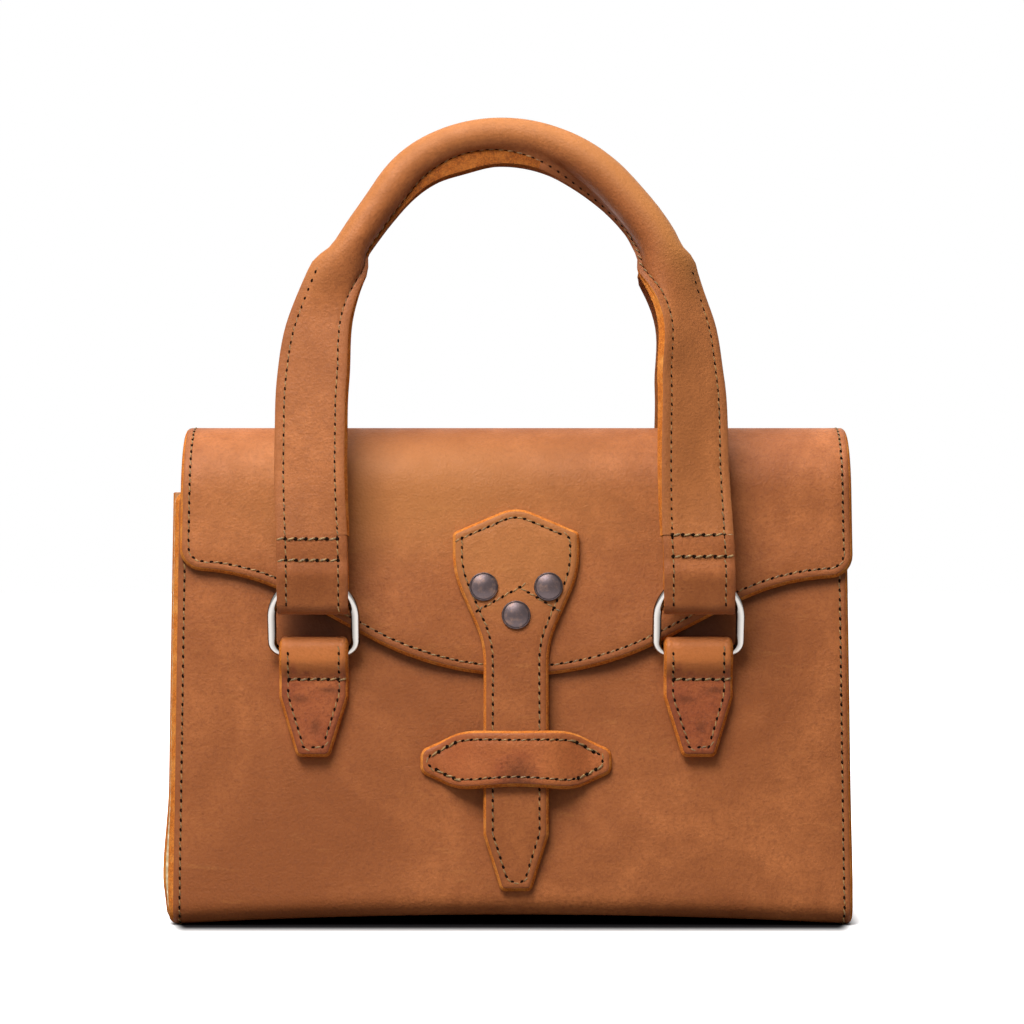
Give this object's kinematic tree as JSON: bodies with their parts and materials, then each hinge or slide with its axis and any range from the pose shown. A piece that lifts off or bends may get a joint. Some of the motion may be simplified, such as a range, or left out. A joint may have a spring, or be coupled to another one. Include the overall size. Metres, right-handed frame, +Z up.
{
  "type": "top handle bag",
  "caption": "Leather satchel with a tapering body, curved front flap, strap closure tucked under a keeper, and arched rolled handles on steel rings.",
  "frame": {"origin": "middle of the base, on the surface that the bag stands on", "axes": "+Z up, the front with the flap and closure faces -Y, +X to the right as seen from the front"},
  "size_m": [0.3, 0.1272, 0.3576],
  "materials": {
    "tan_leather": "waxed tan leather, satin",
    "burnished_leather": "burnished reddish leather, satin",
    "suede_backing": "raw flesh side, matte",
    "lining": "plain cream cotton, matte",
    "steel": "polished steel",
    "antique_metal": "dark antique plating, satin",
    "rope": "cotton rope, matte"
  },
  "bodies": {
    "bag": {"body_wrap": "tan_leather", "body_lining": "lining", "left_gusset": "tan_leather", "right_gusset": "tan_leather", "left_gusset_lining": "lining", "right_gusset_lining": "lining", "flap_anchor": "tan_leather", "strap_keeper": "burnished_leather", "strap_keeper_backing": "lining", "front_left_ring_tab": "burnished_leather", "front_right_ring_tab": "burnished_leather", "back_left_ring_tab": "burnished_leather", "back_right_ring_tab": "burnished_leather"},
    "flap": {"flap_outer": "tan_leather", "flap_lining": "lining", "closure_strap": "tan_leather", "closure_strap_backing": "suede_backing", "closure_rivets": "antique_metal", "closure_rivet_backs": "antique_metal"},
    "front_left_ring": {"front_left_ring": "steel"},
    "front_right_ring": {"front_right_ring": "steel"},
    "front_handle": {"front_handle_strap": "tan_leather", "front_handle_left_backing": "suede_backing", "front_handle_right_backing": "suede_backing", "front_handle_core": "rope"},
    "back_left_ring": {"back_left_ring": "steel"},
    "back_right_ring": {"back_right_ring": "steel"},
    "back_handle": {"back_handle_strap": "tan_leather", "back_handle_left_backing": "suede_backing", "back_handle_right_backing": "suede_backing", "back_handle_core": "rope"}
  },
  "joints": [
    {"name": "flap_hinge", "type": "hinge", "parent": "bag", "child": "flap", "pos_m": [0, 0.03567, 0.17552], "axis": [-1, 0, 0], "range_deg": [0, 130]},
    {"name": "front_left_ring_swing", "type": "hinge", "parent": "bag", "child": "front_left_ring", "pos_m": [-0.0871, -0.04649, 0.1191], "axis": [1, 0, 0], "range_deg": [0, 100]},
    {"name": "front_right_ring_swing", "type": "hinge", "parent": "bag", "child": "front_right_ring", "pos_m": [0.0819, -0.04649, 0.1191], "axis": [1, 0, 0], "range_deg": [0, 100]},
    {"name": "front_handle_turn", "type": "hinge", "parent": "front_left_ring", "child": "front_handle", "pos_m": [-0.0871, -0.05568, 0.14755], "axis": [1, 0, 0], "range_deg": [0, 20]},
    {"name": "back_left_ring_swing", "type": "hinge", "parent": "bag", "child": "back_left_ring", "pos_m": [-0.0871, 0.04649, 0.1191], "axis": [-1, 0, 0], "range_deg": [0, 60]},
    {"name": "back_right_ring_swing", "type": "hinge", "parent": "bag", "child": "back_right_ring", "pos_m": [0.0819, 0.04649, 0.1191], "axis": [-1, 0, 0], "range_deg": [0, 60]},
    {"name": "back_handle_turn", "type": "hinge", "parent": "back_left_ring", "child": "back_handle", "pos_m": [-0.0871, 0.05568, 0.14755], "axis": [-1, 0, 0], "range_deg": [0, 20]}
  ],
  "couplings": [
    {"joint": "front_left_ring_swing", "follows": "flap_hinge", "ratio": 0.75},
    {"joint": "front_right_ring_swing", "follows": "flap_hinge", "ratio": 0.75},
    {"joint": "back_left_ring_swing", "follows": "flap_hinge", "ratio": 0.4},
    {"joint": "back_right_ring_swing", "follows": "flap_hinge", "ratio": 0.4}
  ]
}
